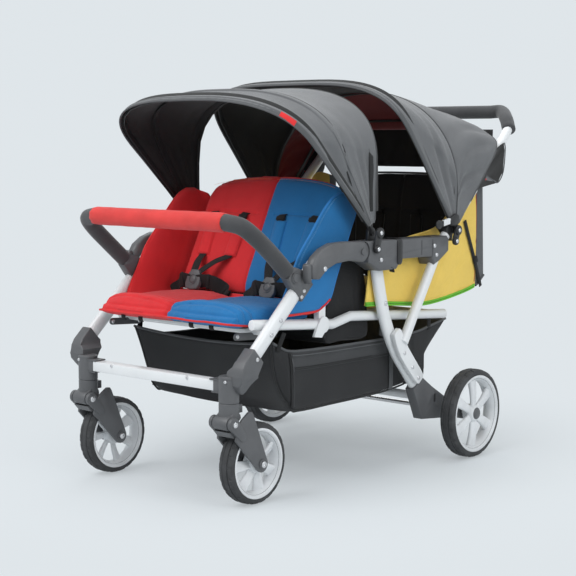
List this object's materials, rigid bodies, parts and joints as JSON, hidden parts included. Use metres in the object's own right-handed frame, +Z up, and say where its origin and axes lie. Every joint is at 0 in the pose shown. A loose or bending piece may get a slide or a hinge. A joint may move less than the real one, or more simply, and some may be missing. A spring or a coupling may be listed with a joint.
{
  "type": "four-seat pushchair",
  "caption": "Folding pushchair with two rows of paired seats, a canopy over each row, a bumper bar, a basket and swivelling front castors.",
  "frame": {"origin": "on the floor, under the middle of the object's bounding box", "axes": "+Z up, -Y to the front (the way the children face), +X to the children's left"},
  "size_m": [0.748, 1.1938, 0.9798],
  "materials": {
    "tyre": "matt, faint tread",
    "light_plastic": "satin",
    "grey_plastic": "fine grained, satin",
    "black_plastic": "satin",
    "white_paint": "powder coated, satin",
    "zinc_steel": "zinc plated",
    "foam": "closed-cell foam, matt",
    "charcoal_cloth": "woven, matt",
    "black_cloth": "woven, matt",
    "red_cloth": "woven, matt",
    "yellow_cloth": "woven, matt",
    "webbing": "ribbed webbing"
  },
  "bodies": {
    "rear_frame": {"rear_leg_left": "white_paint", "rear_leg_right": "white_paint", "rear_bracket_left": "grey_plastic", "rear_bracket_right": "grey_plastic", "rear_axle": "zinc_steel", "rear_cross_tube": "white_paint", "push_handle": "white_paint", "handle_grip": "foam", "arm_housing_left": "grey_plastic", "arm_housing_right": "grey_plastic", "rear_wing_left": "yellow_cloth", "rear_wing_right": "yellow_cloth", "front_canopy_base": "grey_plastic", "rear_canopy_base": "grey_plastic", "front_canopy_cloth": "charcoal_cloth", "rear_canopy_cloth": "charcoal_cloth"},
    "front_frame": {"front_leg_left": "white_paint", "front_leg_right": "white_paint", "castor_housing_left": "grey_plastic", "castor_housing_right": "grey_plastic", "front_cross_bar": "white_paint", "seat_rails": "white_paint", "bar_socket_left": "grey_plastic", "bar_socket_right": "grey_plastic", "basket": "black_cloth", "footwell": "black_cloth", "front_seat_base": "red_cloth", "rear_seat_base": "yellow_cloth", "front_harness_left": "webbing", "front_harness_right": "webbing", "rear_harness_left": "webbing", "rear_harness_right": "webbing"},
    "arm_left": {"armrest_left": "grey_plastic"},
    "arm_right": {"armrest_right": "grey_plastic"},
    "latch_left": {"fold_latch_left": "black_plastic"},
    "latch_right": {"fold_latch_right": "black_plastic"},
    "bumper": {"bumper_bar": "foam", "bumper_sleeve": "red_cloth"},
    "button_left": {"bar_button_left": "grey_plastic"},
    "button_right": {"bar_button_right": "grey_plastic"},
    "front_back": {"front_backrest": "red_cloth"},
    "rear_back": {"rear_backrest": "black_cloth"},
    "front_canopy_lead": {"front_canopy_front_bow": "grey_plastic"},
    "front_canopy_middle": {"front_canopy_mid_bow": "grey_plastic"},
    "rear_canopy_lead": {"rear_canopy_front_bow": "grey_plastic"},
    "rear_canopy_middle": {"rear_canopy_mid_bow": "grey_plastic"},
    "brake": {"brake_pedal": "black_plastic"},
    "castor_left": {"swivel_head_left": "grey_plastic"},
    "castor_right": {"swivel_head_right": "grey_plastic"},
    "fork_left": {"castor_fork_left": "grey_plastic"},
    "fork_right": {"castor_fork_right": "grey_plastic"},
    "front_wheel_left": {"front_hub_left": "light_plastic", "front_tyre_left": "tyre"},
    "front_wheel_right": {"front_hub_right": "light_plastic", "front_tyre_right": "tyre"},
    "rear_wheel_left": {"rear_hub_left": "light_plastic", "rear_tyre_left": "tyre"},
    "rear_wheel_right": {"rear_hub_right": "light_plastic", "rear_tyre_right": "tyre"}
  },
  "joints": [
    {"name": "frame_fold", "type": "hinge", "parent": "rear_frame", "child": "front_frame", "pos_m": [0, -0.02942, 0.396], "axis": [1, 0, 0], "range_deg": [0, 62]},
    {"name": "arm_fold_left", "type": "hinge", "parent": "rear_frame", "child": "arm_left", "pos_m": [0.3, -0.17042, 0.566], "axis": [1, 0, 0], "range_deg": [0, 62]},
    {"name": "arm_fold_right", "type": "hinge", "parent": "rear_frame", "child": "arm_right", "pos_m": [-0.3, -0.17042, 0.566], "axis": [1, 0, 0], "range_deg": [0, 62]},
    {"name": "latch_release_left", "type": "hinge", "parent": "arm_left", "child": "latch_left", "pos_m": [0.3, -0.36622, 0.543], "axis": [-1, 0, 0], "range_deg": [0, 18], "stiffness_Nm_per_rad": 0.1, "springref_deg": -11.46},
    {"name": "latch_release_right", "type": "hinge", "parent": "arm_right", "child": "latch_right", "pos_m": [-0.3, -0.36622, 0.543], "axis": [-1, 0, 0], "range_deg": [0, 18], "stiffness_Nm_per_rad": 0.1, "springref_deg": -11.46},
    {"name": "bumper_pull", "type": "slide", "parent": "front_frame", "child": "bumper", "axis": [0, -0.77, 0.638], "range_m": [0, 0.06]},
    {"name": "button_press_left", "type": "slide", "parent": "front_frame", "child": "button_left", "axis": [-1, 0, 0], "range_m": [0, 0.003], "stiffness_N_per_m": 600, "springref_m": -0.002},
    {"name": "button_press_right", "type": "slide", "parent": "front_frame", "child": "button_right", "axis": [1, 0, 0], "range_m": [0, 0.003], "stiffness_N_per_m": 600, "springref_m": -0.002},
    {"name": "front_back_recline", "type": "hinge", "parent": "front_frame", "child": "front_back", "pos_m": [0, -0.25442, 0.44], "axis": [-1, 0, 0], "range_deg": [0, 20]},
    {"name": "rear_back_recline", "type": "hinge", "parent": "rear_frame", "child": "rear_back", "pos_m": [0, 0.39758, 0.435], "axis": [-1, 0, 0], "range_deg": [0, 30]},
    {"name": "front_canopy_open", "type": "hinge", "parent": "rear_frame", "child": "front_canopy_lead", "pos_m": [0, -0.11542, 0.609], "axis": [-1, 0, 0], "range_deg": [0, 40], "deforming": ["front_canopy_cloth"]},
    {"name": "front_canopy_follow", "type": "hinge", "parent": "rear_frame", "child": "front_canopy_middle", "pos_m": [0, -0.11542, 0.609], "axis": [-1, 0, 0], "range_deg": [0, 30]},
    {"name": "rear_canopy_open", "type": "hinge", "parent": "rear_frame", "child": "rear_canopy_lead", "pos_m": [0, 0.21758, 0.6], "axis": [-1, 0, 0], "range_deg": [0, 38], "deforming": ["rear_canopy_cloth"]},
    {"name": "rear_canopy_follow", "type": "hinge", "parent": "rear_frame", "child": "rear_canopy_middle", "pos_m": [0, 0.21758, 0.6], "axis": [-1, 0, 0], "range_deg": [0, 19]},
    {"name": "brake_press", "type": "hinge", "parent": "rear_frame", "child": "brake", "pos_m": [0, 0.13858, 0.166], "axis": [-1, 0, 0], "range_deg": [0, 20]},
    {"name": "castor_swivel_left", "type": "hinge", "parent": "front_frame", "child": "castor_left", "pos_m": [0.237, -0.56342, 0.246], "axis": [0, 0, 1], "continuous": true},
    {"name": "castor_swivel_right", "type": "hinge", "parent": "front_frame", "child": "castor_right", "pos_m": [-0.237, -0.56342, 0.246], "axis": [0, 0, 1], "continuous": true},
    {"name": "suspension_left", "type": "hinge", "parent": "castor_left", "child": "fork_left", "pos_m": [0.237, -0.58042, 0.2018], "axis": [1, 0, 0], "range_deg": [0, 8], "stiffness_Nm_per_rad": 80, "springref_deg": -14.32},
    {"name": "suspension_right", "type": "hinge", "parent": "castor_right", "child": "fork_right", "pos_m": [-0.237, -0.58042, 0.2018], "axis": [1, 0, 0], "range_deg": [0, 8], "stiffness_Nm_per_rad": 80, "springref_deg": -14.32},
    {"name": "front_wheel_spin_left", "type": "hinge", "parent": "fork_left", "child": "front_wheel_left", "pos_m": [0.237, -0.48492, 0.0955], "axis": [1, 0, 0], "continuous": true},
    {"name": "front_wheel_spin_right", "type": "hinge", "parent": "fork_right", "child": "front_wheel_right", "pos_m": [-0.237, -0.48492, 0.0955], "axis": [1, 0, 0], "continuous": true},
    {"name": "rear_wheel_spin_left", "type": "hinge", "parent": "rear_frame", "child": "rear_wheel_left", "pos_m": [0.35, 0.25008, 0.1167], "axis": [1, 0, 0], "continuous": true},
    {"name": "rear_wheel_spin_right", "type": "hinge", "parent": "rear_frame", "child": "rear_wheel_right", "pos_m": [-0.35, 0.25008, 0.1167], "axis": [1, 0, 0], "continuous": true}
  ],
  "couplings": [
    {"joint": "arm_fold_left", "follows": "frame_fold", "ratio": 1},
    {"joint": "arm_fold_right", "follows": "frame_fold", "ratio": 1},
    {"joint": "front_canopy_follow", "follows": "front_canopy_open", "ratio": 0.75},
    {"joint": "rear_canopy_follow", "follows": "rear_canopy_open", "ratio": 0.5}
  ]
}
